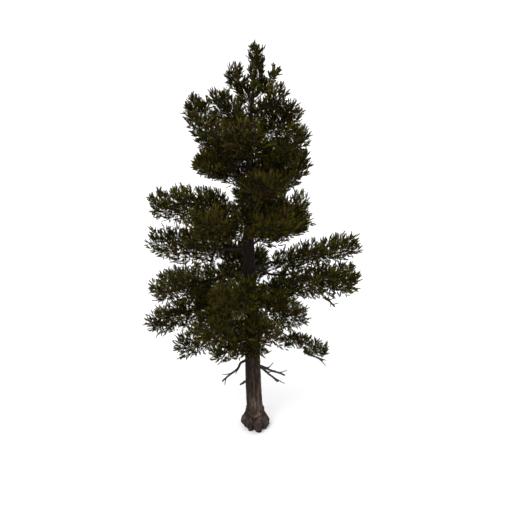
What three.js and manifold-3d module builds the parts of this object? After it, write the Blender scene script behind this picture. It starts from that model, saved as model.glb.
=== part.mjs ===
// A mature, open-grown pine tree, rooted in level ground.
// Millimetres, +Z up. The origin is the centre of the flat cut under the trunk, at ground level.
// +X is the tree's right, -Y its front.
//
// The trunk runs whole from its root flare to the tip. Each bough leaves it in a tier, and carries
// one mass of foliage on its outer part. Dead limbs are bare. Azimuths are degrees about +Z from +X.

import * as THREE from "three";
import { mergeVertices } from "three/addons/utils/BufferGeometryUtils.js";
import Module from "manifold-3d";

const wasm = await Module();
wasm.setup();

// ---- Driving dimensions -------------------------------------------------------------------

const TREE_HEIGHT = 14000;
const TRUNK_TOP = 13550; // the leader's tip, inside the topmost mass
const TRUNK_RADIUS = 298; // just above the root flare
const TRUNK_TIP_RADIUS = 14;
const TAPER_POWER = 1.62;

const FLARE_HEIGHT = 680;
const FLARE_SPREAD = 195; // how far the root collar stands out from the trunk
const FLARE_POWER = 2.2; // the higher, the more squarely the collar stands out
const FLARE_TUCK = 0.2; // how much it draws in again at the ground
const FLARE_TUCK_HEIGHT = 110;
const FLARE_LOBES = 4; // main buttresses round the collar, one to each side
const FLARE_LOBE_SHARE = 0.2;
const FLARE_LEFT_SHARE = 0.17; // the left side of the collar is the fuller

// Sideways wander of the trunk's axis: [height, x, y].
const TRUNK_AXIS = [
  [0, 0, 0],
  [700, -85, 5],
  [2000, -155, 20],
  [4200, -195, 45],
  [7300, -310, 10],
  [9400, -245, -40],
  [11300, -255, -10],
  [12700, -110, 20],
  [TRUNK_TOP, -20, 0],
];

const TRUNK_SIDES = 12;
const TRUNK_RINGS = 20;
const LIMB_SIDES = 6;
const LIMB_RINGS = 5;
const MASS_SIDES = 8;
const MASS_RINGS = 7;
const FACET_SWELL = 1.05; // makes up for what the flat facets of a mass cut off its depth

const JOINT_GAP = 4; // clearance between a limb and the trunk
const MASS_GAP = 45; // clearance between a mass and its neighbours
const SLIVER = 30; // slivers left by a cut are smoothed away within this
const LEAST_BARE_LIMB = 640; // a shorter bare stretch is left inside the foliage

const MASS_UNEVENNESS = 0.2; // how far a mass's surface strays from an even ball
const CROWN_TOP_UNEVENNESS = 0.12;
const CROWN_TOP_SEED = 5;
const MASS_END = 60; // how far a mass reaches past each end of its stretch of bough
const MASS_FOOT_FULLNESS = 0.82; // a mass's width at its inner end
const MASS_TIP_FULLNESS = 0.3; // and how much bushier it is at the tip
const LIMB_RADIUS_LEAST = 24;
const LIMB_RADIUS_PER_LENGTH = 0.0095;
const LIMB_TAPER = 0.75; // the share of its radius that a bough loses by its tip
const LIMB_INTO_MASS = 0.12; // how far a bough is drawn on before its foliage cuts it
const DEAD_TAPER = 0.8;

// A bough: height where it leaves the trunk, azimuth, horizontal reach of its tip, height of its
// tip, how far its middle arches above (+) or sags below (-) a straight line, the share of its
// length that is bare, then its foliage's half width, depth above and depth below the limb.
const BOUGHS = {
  tier9_left: [12150, 164, 620, 13300, -40, 0.08, 280, 270, 400],
  tier9_right: [12350, 18, 780, 13240, -60, 0.1, 260, 220, 230],
  tier8_left: [11250, 190, 1160, 12540, -150, 0.06, 560, 500, 440],
  tier8_right: [11100, 14, 1540, 12100, -180, 0.12, 560, 460, 640],
  tier8_right_front: [11500, 338, 1120, 12720, -120, 0.1, 460, 420, 380],
  tier7_left: [10100, 173, 1890, 12330, -440, 0.12, 680, 520, 600],
  tier7_front: [10450, 258, 1600, 11750, -160, 0.1, 740, 440, 430],
  tier7_back: [10250, 100, 1850, 12000, -180, 0.1, 800, 560, 540],
  tier7_right: [9900, 352, 1770, 11340, -190, 0.12, 740, 760, 500],
  tier6_left: [9800, 183, 1790, 10260, -130, 0.42, 700, 620, 270],
  tier6_right: [9050, 8, 1960, 10380, -120, 0.12, 720, 620, 480],
  tier6_right_front: [8400, 338, 2000, 9000, -60, 0.12, 720, 620, 680],
  tier6_front: [9050, 282, 2050, 10080, -120, 0.1, 800, 560, 460],
  tier6_back_left: [9350, 126, 2200, 10500, -160, 0.26, 860, 620, 400],
  tier6_back_right: [8950, 55, 2150, 10450, -160, 0.12, 820, 620, 560],
  tier5_left: [8560, 178, 3380, 8800, 130, 0.16, 940, 500, 660],
  tier5_right: [7800, 3, 1910, 7990, 60, 0.2, 660, 460, 300],
  tier5_front_left: [8050, 234, 2550, 8740, -40, 0.12, 900, 620, 560],
  tier5_front_right: [7980, 300, 2300, 8560, -40, 0.12, 860, 680, 350],
  tier5_back: [7950, 80, 2700, 9050, -80, 0.14, 900, 620, 560],
  tier4_left: [7150, 170, 3520, 7520, -190, 0.3, 840, 540, 840],
  tier4_right: [6420, 3, 3890, 7290, -40, 0.14, 740, 500, 400],
  tier4_back_left: [6900, 132, 3200, 7050, -60, 0.28, 900, 560, 480],
  tier4_back_right: [7200, 50, 3000, 7700, -60, 0.26, 900, 560, 440],
  tier3_left: [6220, 188, 3440, 5760, 80, 0.2, 860, 640, 620],
  tier3_right: [6450, 352, 3830, 6460, -280, 0.3, 860, 470, 700],
  tier3_front: [6050, 258, 2700, 6050, 20, 0.14, 960, 560, 520],
  tier2_left: [5250, 176, 3740, 4180, 140, 0.24, 840, 460, 620],
  tier2_right_front: [5400, 322, 2260, 4980, 80, 0.18, 720, 540, 600],
  tier2_front_left: [5200, 236, 2800, 4850, 60, 0.14, 980, 560, 520],
  tier2_front: [5100, 284, 2250, 4850, 60, 0.14, 800, 540, 520],
  tier2_back: [5600, 96, 3250, 6000, 40, 0.28, 1080, 560, 520],
  tier1_left: [4400, 196, 2860, 3680, 110, 0.22, 780, 300, 620],
  tier1_right: [4650, 350, 2760, 3440, -180, 0.5, 440, 210, 240],
  tier1_right_front: [4350, 322, 1650, 3860, -30, 0.55, 300, 180, 180],
  tier1_front: [4300, 266, 1850, 3950, 80, 0.14, 800, 440, 440],
  tier1_front_left: [3950, 222, 1780, 3570, 40, 0.16, 640, 400, 350],
  tier1_back_left: [4500, 134, 2950, 4700, 40, 0.28, 920, 480, 440],
  tier1_back_right: [4600, 58, 2800, 4900, 40, 0.28, 880, 480, 440],
};

// The topmost mass stands round the leader.
const CROWN_TOP_FOOT = 12450;
const CROWN_TOP_HALF_WIDTH = 345;
const CROWN_TOP_WAIST = 0.78; // its width half way up, as a share of that half width
const CROWN_TOP_SPREAD = 0.28; // how much wider it is at its top, and narrower at its foot

// A bare dead limb is one or more prongs. A prong starts on the trunk's axis at a height, or on a
// bough at a share of its length. Its end is given by azimuth and reach from the axis, and height.
const DEAD_LIMBS = {
  dead_stub_left: [{ height: 2090, azimuth: 186, reach: 500, end: 1760, arch: 5, radius: 46 }],
  dead_limb_left: [
    { height: 3000, azimuth: 204, reach: 1230, end: 2150, arch: 40, radius: 48 },
    { height: 2990, azimuth: 196, reach: 1370, end: 2760, arch: -60, radius: 42 },
  ],
  dead_limb_right: [
    { height: 2740, azimuth: 336, reach: 1040, end: 2100, arch: 20, radius: 60 },
    { height: 2730, azimuth: 346, reach: 1230, end: 2300, arch: -40, radius: 52 },
  ],
  dead_end_right_upper: [
    { bough: "tier3_right", share: 0.56, azimuth: 350, reach: 3060, end: 5150, arch: -60, radius: 38 },
  ],
  dead_end_right_lower: [
    { bough: "tier1_right", share: 0.52, azimuth: 346, reach: 2650, end: 3100, arch: -150, radius: 34 },
  ],
};

// ---- Shape helpers ------------------------------------------------------------------------

/** A smooth, repeatable unevenness in [-1, 1] over directions, different for each seed. */
function unevenness(direction, seed) {
  const { x, y, z } = direction;
  const a = Math.sin(3.1 * x + 1.7 * seed) * Math.cos(2.7 * y - 0.9 * seed);
  const b = Math.sin(4.3 * z + 2.3 * seed) * Math.cos(3.9 * x + 0.4 * seed);
  const c = Math.sin(5.7 * y + 3.1 * seed + 2.2 * z);
  return 0.4 * a + 0.35 * b + 0.25 * c;
}

/** Crowds a ball's parallels towards its poles, which makes the ends of a long mass blunter. */
const blunt = (t) => Math.sin((t * Math.PI) / 2);

/** A closed three.js geometry as a manifold-3d solid. */
function solidFrom(geometry) {
  const bare = geometry.clone();
  for (const name of Object.keys(bare.attributes)) {
    if (name !== "position") bare.deleteAttribute(name);
  }
  const merged = mergeVertices(bare, 1e-3);
  return new wasm.Manifold(
    new wasm.Mesh({
      numProp: 3,
      vertProperties: new Float32Array(merged.attributes.position.array),
      triVerts: new Uint32Array(merged.index.array),
    }),
  );
}

/** A manifold-3d solid as a three.js geometry, its flat faces kept flat. */
function geometryFrom(solid) {
  const { numProp, vertProperties, triVerts } = solid.getMesh();
  const corners = new Float32Array((vertProperties.length / numProp) * 3);
  for (let i = 0; i < corners.length / 3; i++) {
    corners.set(vertProperties.subarray(i * numProp, i * numProp + 3), i * 3);
  }
  const geometry = new THREE.BufferGeometry();
  geometry.setAttribute("position", new THREE.BufferAttribute(corners, 3));
  geometry.setIndex(new THREE.BufferAttribute(triVerts, 1));
  const flat = geometry.toNonIndexed();
  flat.computeVertexNormals();
  return flat;
}

/** The largest of the separate bodies that a cut leaves. */
function largestBody(solid) {
  const bodies = solid.decompose();
  return bodies.reduce((most, body) => (body.volume() > most.volume() ? body : most));
}

/** Moves every corner of a geometry by a function of its place. */
function reshape(geometry, move) {
  const position = geometry.getAttribute("position");
  const corner = new THREE.Vector3();
  for (let i = 0; i < position.count; i++) {
    const moved = move(corner.fromBufferAttribute(position, i));
    position.setXYZ(i, moved.x, moved.y, moved.z);
  }
  return geometry;
}

/** A tapering limb: a cylinder bent along a curve, with its radius a function of the share along. */
function limbSolid(curve, radiusAt) {
  const straight = new THREE.CylinderGeometry(1, 1, 1, LIMB_SIDES, LIMB_RINGS);
  const bent = reshape(straight, (corner) => {
    const share = THREE.MathUtils.clamp(corner.y + 0.5, 0, 1);
    const { side, up } = frameAt(curve, share);
    const radius = radiusAt(share);
    return curve
      .getPoint(share)
      .addScaledVector(side, corner.x * radius)
      .addScaledVector(up, corner.z * radius);
  });
  return solidFrom(bent);
}

/** The tangent, level side and upward direction of a limb's curve at a share of its length. */
function frameAt(curve, share) {
  const along = curve.getTangent(share);
  const side = new THREE.Vector3().crossVectors(along, new THREE.Vector3(0, 0, 1)).normalize();
  const up = new THREE.Vector3().crossVectors(side, along);
  return { along, side, up };
}

// ---- The trunk ----------------------------------------------------------------------------

const trunkCurve = new THREE.CatmullRomCurve3(
  TRUNK_AXIS.map(([height, x, y]) => new THREE.Vector3(x, y, height)),
);

/** The middle of the trunk at a height. */
function trunkAxisAt(height) {
  const clamped = THREE.MathUtils.clamp(height, 0, TRUNK_TOP);
  let low = 0;
  let high = 1;
  for (let i = 0; i < 24; i++) {
    const middle = (low + high) / 2;
    if (trunkCurve.getPoint(middle).z < clamped) low = middle;
    else high = middle;
  }
  return trunkCurve.getPoint((low + high) / 2).setZ(clamped);
}

/** The trunk's radius at a height and an angle round it, with the root flare. */
function trunkRadius(height, angle) {
  const taper = 1 - Math.pow(height / TRUNK_TOP, TAPER_POWER);
  const stem = TRUNK_TIP_RADIUS + (TRUNK_RADIUS - TRUNK_TIP_RADIUS) * taper;
  const rise = Math.min(1, height / FLARE_HEIGHT);
  const flare = FLARE_SPREAD * (1 - Math.pow(rise, FLARE_POWER));
  const buttresses = FLARE_LOBE_SHARE * Math.cos(FLARE_LOBES * angle);
  const tuck = 1 - FLARE_TUCK * Math.max(0, 1 - height / FLARE_TUCK_HEIGHT);
  return (stem + flare * (1 + buttresses - FLARE_LEFT_SHARE * Math.cos(angle))) * tuck;
}

/** Ring heights lie closer together down in the flare. */
const ringHeight = (share) => TRUNK_TOP * Math.pow(share, 1.6);

/** The trunk as a solid, swollen by a gap where it is used to cut its neighbours. */
function trunkSolid(gap = 0) {
  const straight = new THREE.CylinderGeometry(1, 1, 1, TRUNK_SIDES, TRUNK_RINGS);
  const shaped = reshape(straight, (corner) => {
    const height = ringHeight(THREE.MathUtils.clamp(corner.y + 0.5, 0, 1));
    const out = Math.hypot(corner.x, corner.z);
    const angle = Math.atan2(-corner.z, corner.x);
    const radius = out * (trunkRadius(height, angle) + gap);
    const middle = trunkAxisAt(height);
    return new THREE.Vector3(
      middle.x + radius * Math.cos(angle),
      middle.y + radius * Math.sin(angle),
      height,
    );
  });
  return solidFrom(shaped);
}

// ---- Boughs and their foliage ---------------------------------------------------------------

/** A limb's curve from a foot to a tip at an azimuth and reach from the axis at its height. */
function limbCurve(foot, height, azimuth, reach, tipHeight, arch) {
  const axis = trunkAxisAt(height);
  const angle = THREE.MathUtils.degToRad(azimuth);
  const tip = new THREE.Vector3(
    axis.x + reach * Math.cos(angle),
    axis.y + reach * Math.sin(angle),
    tipHeight,
  );
  const control = foot.clone().add(tip).multiplyScalar(0.5);
  control.z += 2 * arch; // a quadratic curve's middle moves half as far as its control point
  return new THREE.QuadraticBezierCurve3(foot, control, tip);
}

/** A bough's radius where it leaves the trunk: it grows with the bough's length. */
const boughFootRadius = (length) => LIMB_RADIUS_LEAST + length * LIMB_RADIUS_PER_LENGTH;

/** A mass of foliage: a ball drawn out along the outer part of its bough. */
function massSolid(curve, bare, halfWidth, above, below, seed, gap = 0) {
  const ball = new THREE.SphereGeometry(1, MASS_SIDES, MASS_RINGS).rotateZ(-Math.PI / 2);
  const shaped = reshape(ball, (corner) => {
    const uneven = 1 + MASS_UNEVENNESS * unevenness(corner, seed);
    const share = bare + ((1 - bare) * (blunt(corner.x) + 1)) / 2;
    const { along, side, up } = frameAt(curve, share);
    const depth = (corner.z > 0 ? above : below) * FACET_SWELL;
    const fullness = MASS_FOOT_FULLNESS + MASS_TIP_FULLNESS * share;
    return curve
      .getPoint(share)
      .addScaledVector(along, corner.x * (MASS_END * uneven + gap))
      .addScaledVector(side, -corner.y * (halfWidth * fullness * uneven + gap))
      .addScaledVector(up, corner.z * (depth * uneven + gap));
  });
  return solidFrom(shaped);
}

/** The topmost mass: a ball drawn up round the leader. */
function crownTopSolid(gap = 0) {
  const ball = new THREE.SphereGeometry(1, MASS_SIDES, MASS_RINGS).rotateX(Math.PI / 2);
  const shaped = reshape(ball, (corner) => {
    const uneven = 1 + CROWN_TOP_UNEVENNESS * unevenness(corner, CROWN_TOP_SEED);
    const middle = (TREE_HEIGHT + CROWN_TOP_FOOT) / 2;
    const half = (TREE_HEIGHT - CROWN_TOP_FOOT) / 2;
    const height = middle + blunt(corner.z) * (half + gap);
    const axis = trunkAxisAt(height);
    const width = CROWN_TOP_WAIST + CROWN_TOP_SPREAD * corner.z;
    const out = CROWN_TOP_HALF_WIDTH * width * uneven + gap;
    return new THREE.Vector3(axis.x + corner.x * out, axis.y + corner.y * out, height);
  });
  return solidFrom(shaped);
}

// ---- The assembly ---------------------------------------------------------------------------

const bark = new THREE.MeshStandardMaterial({ color: 0x5b4f47, roughness: 0.95, metalness: 0 });
const boughBark = new THREE.MeshStandardMaterial({ color: 0x3c332e, roughness: 0.95, metalness: 0 });
const deadWood = new THREE.MeshStandardMaterial({ color: 0x62554d, roughness: 0.9, metalness: 0 });
const needles = new THREE.MeshStandardMaterial({ color: 0x2c2a12, roughness: 0.8, metalness: 0 });

const tree = new THREE.Group();

function addNode(name, solid, material) {
  const mesh = new THREE.Mesh(geometryFrom(solid), material);
  mesh.name = name;
  tree.add(mesh);
}

const trunk = trunkSolid();
const trunkCutter = trunkSolid(JOINT_GAP);
const trunkMassCutter = trunkSolid(MASS_GAP);

const masses = [];
masses.push({ name: "crown_top", solid: crownTopSolid(), cutter: crownTopSolid(MASS_GAP) });
const limbs = [];
const boughCurves = {};
let seed = 1;
for (const [name, row] of Object.entries(BOUGHS)) {
  const [height, azimuth, reach, tip, arch, bare, halfWidth, above, below] = row;
  const curve = limbCurve(trunkAxisAt(height), height, azimuth, reach, tip, arch);
  boughCurves[name] = curve;
  const length = curve.getLength();
  const solid = massSolid(curve, bare, halfWidth, above, below, seed);
  const cutter = massSolid(curve, bare, halfWidth, above, below, seed, MASS_GAP);
  masses.push({ name, solid, cutter });
  if (bare * length > LEAST_BARE_LIMB) limbs.push({ name, curve, length, bare });
  seed += 1;
}

// Where two masses meet, the later one gives way.
const finished = [];
for (const mass of masses) {
  let solid = mass.solid.subtract(trunkMassCutter);
  for (const earlier of finished) solid = solid.subtract(earlier.cutter);
  const body = largestBody(largestBody(solid).simplify(SLIVER));
  finished.push({ name: mass.name, body, cutter: mass.cutter });
}

addNode("trunk", trunk, bark);

const LIMB_STATIONS = [0, 0.2, 0.4, 0.6, 0.8, 1]; // shares of a limb that fix its curve
const woodCutters = [];
for (const limb of limbs) {
  const foot = boughFootRadius(limb.length);
  const end = limb.bare + LIMB_INTO_MASS;
  const radiusAt = (share) => foot * (1 - LIMB_TAPER * share * end);
  const shown = new THREE.CatmullRomCurve3(
    LIMB_STATIONS.map((share) => limb.curve.getPoint(share * end)),
  );
  let solid = limbSolid(shown, radiusAt);
  solid = solid.subtract(trunkCutter);
  for (const mass of finished) solid = solid.subtract(mass.cutter);
  for (const other of woodCutters) solid = solid.subtract(other);
  const body = largestBody(solid);
  woodCutters.push(limbSolid(shown, (share) => radiusAt(share) + JOINT_GAP));
  addNode(`bough_${limb.name}`, body, boughBark);
}

for (const [name, prongs] of Object.entries(DEAD_LIMBS)) {
  let solid = null;
  for (const prong of prongs) {
    const { azimuth, reach, end, arch } = prong;
    const foot = prong.bough
      ? boughCurves[prong.bough].getPoint(prong.share)
      : trunkAxisAt(prong.height);
    const curve = limbCurve(foot, foot.z, azimuth, reach, end, arch);
    const made = limbSolid(curve, (share) => prong.radius * (1 - DEAD_TAPER * share));
    solid = solid ? solid.add(made) : made;
  }
  solid = solid.subtract(trunkCutter);
  for (const mass of finished) solid = solid.subtract(mass.cutter);
  for (const other of woodCutters) solid = solid.subtract(other);
  addNode(name, largestBody(solid), deadWood);
}

for (const { name, body } of finished) addNode(`foliage_${name}`, body, needles);

export default tree;
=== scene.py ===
"""A mature, open-grown pine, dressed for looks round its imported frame.

The trunk, boughs and dead limbs are modelled with edit operators and modifiers. Every mass of foliage
is grown again inside its solid: side branches leave the bough, each ends in a spray of shoots, and each
shoot carries a tuft of paired needles. Metres, +Z up, +X the tree's right and -Y its front.
"""

import logging
import math
from dataclasses import dataclass, field
from enum import Enum
from itertools import pairwise

import bpy
import numpy as np
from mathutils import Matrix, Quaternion, Vector
from mathutils.bvhtree import BVHTree


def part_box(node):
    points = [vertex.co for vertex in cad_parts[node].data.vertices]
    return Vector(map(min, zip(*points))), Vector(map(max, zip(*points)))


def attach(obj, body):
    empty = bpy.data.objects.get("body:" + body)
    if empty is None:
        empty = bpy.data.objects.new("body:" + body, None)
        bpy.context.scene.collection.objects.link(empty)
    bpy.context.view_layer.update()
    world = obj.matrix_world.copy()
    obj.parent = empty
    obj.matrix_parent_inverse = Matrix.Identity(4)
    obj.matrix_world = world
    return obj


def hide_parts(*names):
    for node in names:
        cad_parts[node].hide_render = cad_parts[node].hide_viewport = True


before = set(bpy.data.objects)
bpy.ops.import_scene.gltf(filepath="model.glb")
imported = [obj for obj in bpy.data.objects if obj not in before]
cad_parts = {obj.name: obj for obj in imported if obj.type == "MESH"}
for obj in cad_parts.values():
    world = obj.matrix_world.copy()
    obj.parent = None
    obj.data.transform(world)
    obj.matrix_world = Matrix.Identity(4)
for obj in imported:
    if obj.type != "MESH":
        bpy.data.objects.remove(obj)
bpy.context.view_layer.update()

LOG = logging.getLogger("pine")
UP = Vector((0.0, 0.0, 1.0))
GOLDEN_ANGLE = math.pi * (3.0 - math.sqrt(5.0))
LIMB_RADIUS_LEAST = 0.024
LIMB_RADIUS_PER_LENGTH = 0.0095
LIMB_TAPER = 0.82
LIMB_CROOK = 0.008
LIMB_RELIEF = 0.006

Colour = tuple[float, float, float]


# ---- Small tools ------------------------------------------------------------------------------


def deselect_all() -> None:
    """Leaves nothing selected, so that an operator acts only on what is picked next."""
    bpy.ops.object.select_all(action="DESELECT")


def pick(piece: bpy.types.Object) -> None:
    """Selects one object and makes it active."""
    deselect_all()
    piece.select_set(True)
    bpy.context.view_layer.objects.active = piece


def settle(piece: bpy.types.Object) -> None:
    """Puts an object's place into its mesh, so that its origin is the tree's origin."""
    pick(piece)
    bpy.ops.object.transform_apply(location=True, rotation=True, scale=True)


def finish_with(piece: bpy.types.Object, kind: str, **settings: object) -> None:
    """Adds one modifier to a piece and applies it.

    Args:
        piece: The object to finish.
        kind: The modifier's type, such as "SUBSURF".
        **settings: The modifier's own settings.
    """
    pick(piece)
    modifier = piece.modifiers.new(kind.title(), kind)
    for name, value in settings.items():
        setattr(modifier, name, value)
    bpy.ops.object.modifier_apply(modifier=modifier.name)


def smooth_piece(piece: bpy.types.Object, degrees: float) -> None:
    """Smooths a piece's shading where its faces meet at less than an angle in degrees."""
    pick(piece)
    bpy.ops.object.shade_smooth_by_angle(angle=math.radians(degrees))


def corners_of(piece: bpy.types.Object) -> np.ndarray:
    """A mesh's corners as an array of rows."""
    corners = np.empty(len(piece.data.vertices) * 3)
    piece.data.vertices.foreach_get("co", corners)
    return corners.reshape(-1, 3)


def put_corners(piece: bpy.types.Object, corners: np.ndarray) -> None:
    """Moves a mesh's corners to the rows of an array."""
    piece.data.vertices.foreach_set("co", corners.astype(np.float32).ravel())
    piece.data.update()


def mesh_piece(name: str, corners: np.ndarray, faces: np.ndarray) -> bpy.types.Object:
    """Makes an object of many small faces, all with the same number of corners.

    Args:
        name: The object's name.
        corners: One row for each corner.
        faces: One row of corner numbers for each face.

    Returns:
        The new object, at the origin.
    """
    mesh = bpy.data.meshes.new(name)
    mesh.vertices.add(len(corners))
    mesh.vertices.foreach_set("co", corners.astype(np.float32).ravel())
    sides = faces.shape[1]
    mesh.loops.add(faces.size)
    mesh.loops.foreach_set("vertex_index", faces.astype(np.int32).ravel())
    mesh.polygons.add(len(faces))
    mesh.polygons.foreach_set("loop_start", np.arange(len(faces), dtype=np.int32) * sides)
    mesh.update(calc_edges=True)
    piece = bpy.data.objects.new(name, mesh)
    bpy.context.scene.collection.objects.link(piece)
    return piece


def show_as(piece: bpy.types.Object, slot: str, *nodes: str) -> bpy.types.Object:
    """Hangs a piece on the tree's one body, in place of the CAD nodes that it stands for."""
    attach(piece, "root")
    if nodes:
        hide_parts(*nodes)
    LOG.info("%s: %d faces", piece.name, len(piece.data.polygons))
    return piece


# ---- Finishes ---------------------------------------------------------------------------------


class ShaderDesk:
    """Places and joins the nodes of one material or node group."""

    def __init__(self, tree: bpy.types.NodeTree) -> None:
        """Starts work on a node tree."""
        self.tree = tree

    def add(self, kind: str, **settings: object) -> bpy.types.Node:
        """Adds a node and sets its own settings."""
        node = self.tree.nodes.new(kind)
        for name, value in settings.items():
            setattr(node, name, value)
        return node

    def join(self, source: bpy.types.NodeSocket, target: bpy.types.NodeSocket) -> None:
        """Leads one socket to another."""
        self.tree.links.new(source, target)

    def between(
        self,
        amount: bpy.types.NodeSocket,
        low: Colour | bpy.types.NodeSocket,
        high: Colour | bpy.types.NodeSocket,
    ) -> bpy.types.NodeSocket:
        """Mixes two colours by an amount from 0 to 1.

        Args:
            amount: The socket that says how much of the second colour shows.
            low: The first colour, or the socket that gives it.
            high: The second colour, or the socket that gives it.

        Returns:
            The mixed colour's socket.
        """
        mix = self.add("ShaderNodeMix", data_type="RGBA")
        self.join(amount, mix.inputs[0])
        for socket, value in ((mix.inputs[6], low), (mix.inputs[7], high)):
            if isinstance(value, bpy.types.NodeSocket):
                self.join(value, socket)
            else:
                socket.default_value = (*value, 1.0)
        return mix.outputs[2]

    def span(self, value: bpy.types.NodeSocket, low: float, high: float) -> bpy.types.NodeSocket:
        """Stretches the part of a value between two limits to the range 0 to 1."""
        stretch = self.add("ShaderNodeMapRange", interpolation_type="SMOOTHSTEP")
        self.join(value, stretch.inputs["Value"])
        stretch.inputs["From Min"].default_value = low
        stretch.inputs["From Max"].default_value = high
        return stretch.outputs["Result"]


def new_group(name: str, inputs: dict[str, tuple[str, float]], outputs: dict[str, str]) -> tuple:
    """Starts a shader node group.

    Args:
        name: The group's name.
        inputs: Each input's name, with its socket type and default.
        outputs: Each output's name, with its socket type.

    Returns:
        The group's tree, a desk on it, its input node and its output node.
    """
    tree = bpy.data.node_groups.new(name, "ShaderNodeTree")
    for label, (kind, default) in inputs.items():
        socket = tree.interface.new_socket(label, in_out="INPUT", socket_type=kind)
        if kind == "NodeSocketFloat":
            socket.default_value = default
    for label, kind in outputs.items():
        tree.interface.new_socket(label, in_out="OUTPUT", socket_type=kind)
    desk = ShaderDesk(tree)
    return tree, desk, desk.add("NodeGroupInput"), desk.add("NodeGroupOutput")


class SharedEffects:
    """The node groups that more than one material uses, each built once."""

    def __init__(self) -> None:
        """Builds the groups."""
        self.drift = self.build_drift()
        self.bark = self.build_bark()

    def build_drift(self) -> bpy.types.NodeTree:
        """Builds a slow, cloudy change over the surface, as a value from 0 to 1."""
        inputs = {"Vector": ("NodeSocketVector", 0.0), "Scale": ("NodeSocketFloat", 3.0)}
        tree, desk, source, target = new_group("tone_drift", inputs, {"Amount": "NodeSocketFloat"})
        noise = desk.add("ShaderNodeTexNoise")
        noise.inputs["Detail"].default_value = 3.0
        desk.join(source.outputs["Vector"], noise.inputs["Vector"])
        desk.join(source.outputs["Scale"], noise.inputs["Scale"])
        desk.join(desk.span(noise.outputs["Fac"], 0.32, 0.68), target.inputs["Amount"])
        return tree

    def build_bark(self) -> bpy.types.NodeTree:
        """Builds upright bark plates with furrows between them, and the fibre on their faces."""
        inputs = {
            "Vector": ("NodeSocketVector", 0.0),
            "Scale": ("NodeSocketFloat", 9.0),
            "Stretch": ("NodeSocketFloat", 0.28),
        }
        outputs = {"Plates": "NodeSocketFloat", "Fibre": "NodeSocketFloat"}
        tree, desk, source, target = new_group("bark_pattern", inputs, outputs)
        squash = desk.add("ShaderNodeCombineXYZ")
        for axis in ("X", "Y"):
            squash.inputs[axis].default_value = 1.0
        desk.join(source.outputs["Stretch"], squash.inputs["Z"])
        tall = desk.add("ShaderNodeVectorMath", operation="MULTIPLY")
        desk.join(source.outputs["Vector"], tall.inputs[0])
        desk.join(squash.outputs["Vector"], tall.inputs[1])
        waver = desk.add("ShaderNodeTexNoise")
        waver.inputs["Scale"].default_value = 7.0
        desk.join(tall.outputs["Vector"], waver.inputs["Vector"])
        push = desk.add("ShaderNodeVectorMath", operation="MULTIPLY_ADD")
        push.inputs[1].default_value = (0.09, 0.09, 0.09)
        desk.join(waver.outputs["Color"], push.inputs[0])
        desk.join(tall.outputs["Vector"], push.inputs[2])
        cells = desk.add("ShaderNodeTexVoronoi", feature="DISTANCE_TO_EDGE")
        desk.join(push.outputs["Vector"], cells.inputs["Vector"])
        desk.join(source.outputs["Scale"], cells.inputs["Scale"])
        desk.join(desk.span(cells.outputs["Distance"], 0.0, 0.2), target.inputs["Plates"])
        finer = desk.add("ShaderNodeMath", operation="MULTIPLY")
        finer.inputs[1].default_value = 6.0
        desk.join(source.outputs["Scale"], finer.inputs[0])
        fibre = desk.add("ShaderNodeTexNoise")
        fibre.inputs["Detail"].default_value = 5.0
        desk.join(push.outputs["Vector"], fibre.inputs["Vector"])
        desk.join(finer.outputs["Value"], fibre.inputs["Scale"])
        desk.join(fibre.outputs["Fac"], target.inputs["Fibre"])
        return tree


def start_material(name: str) -> tuple[bpy.types.Material, ShaderDesk, bpy.types.Node, bpy.types.Node]:
    """Starts a material that reads the object's own coordinates.

    Args:
        name: The material's name.

    Returns:
        The material, a desk on its nodes, its coordinate node and its Principled shader.
    """
    material = bpy.data.materials.new(name)
    material.use_nodes = True
    material.node_tree.nodes.clear()
    desk = ShaderDesk(material.node_tree)
    place = desk.add("ShaderNodeTexCoord")
    shader = desk.add("ShaderNodeBsdfPrincipled")
    out = desk.add("ShaderNodeOutputMaterial")
    desk.join(shader.outputs["BSDF"], out.inputs["Surface"])
    return material, desk, place, shader


def add_group(
    desk: ShaderDesk, tree: bpy.types.NodeTree, place: bpy.types.NodeSocket, **values: float
) -> bpy.types.Node:
    """Places a shared effect in a material, fed with a position and with its own values."""
    group = desk.add("ShaderNodeGroup", node_tree=tree)
    desk.join(place, group.inputs["Vector"])
    for name, value in values.items():
        group.inputs[name].default_value = value
    return group


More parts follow.
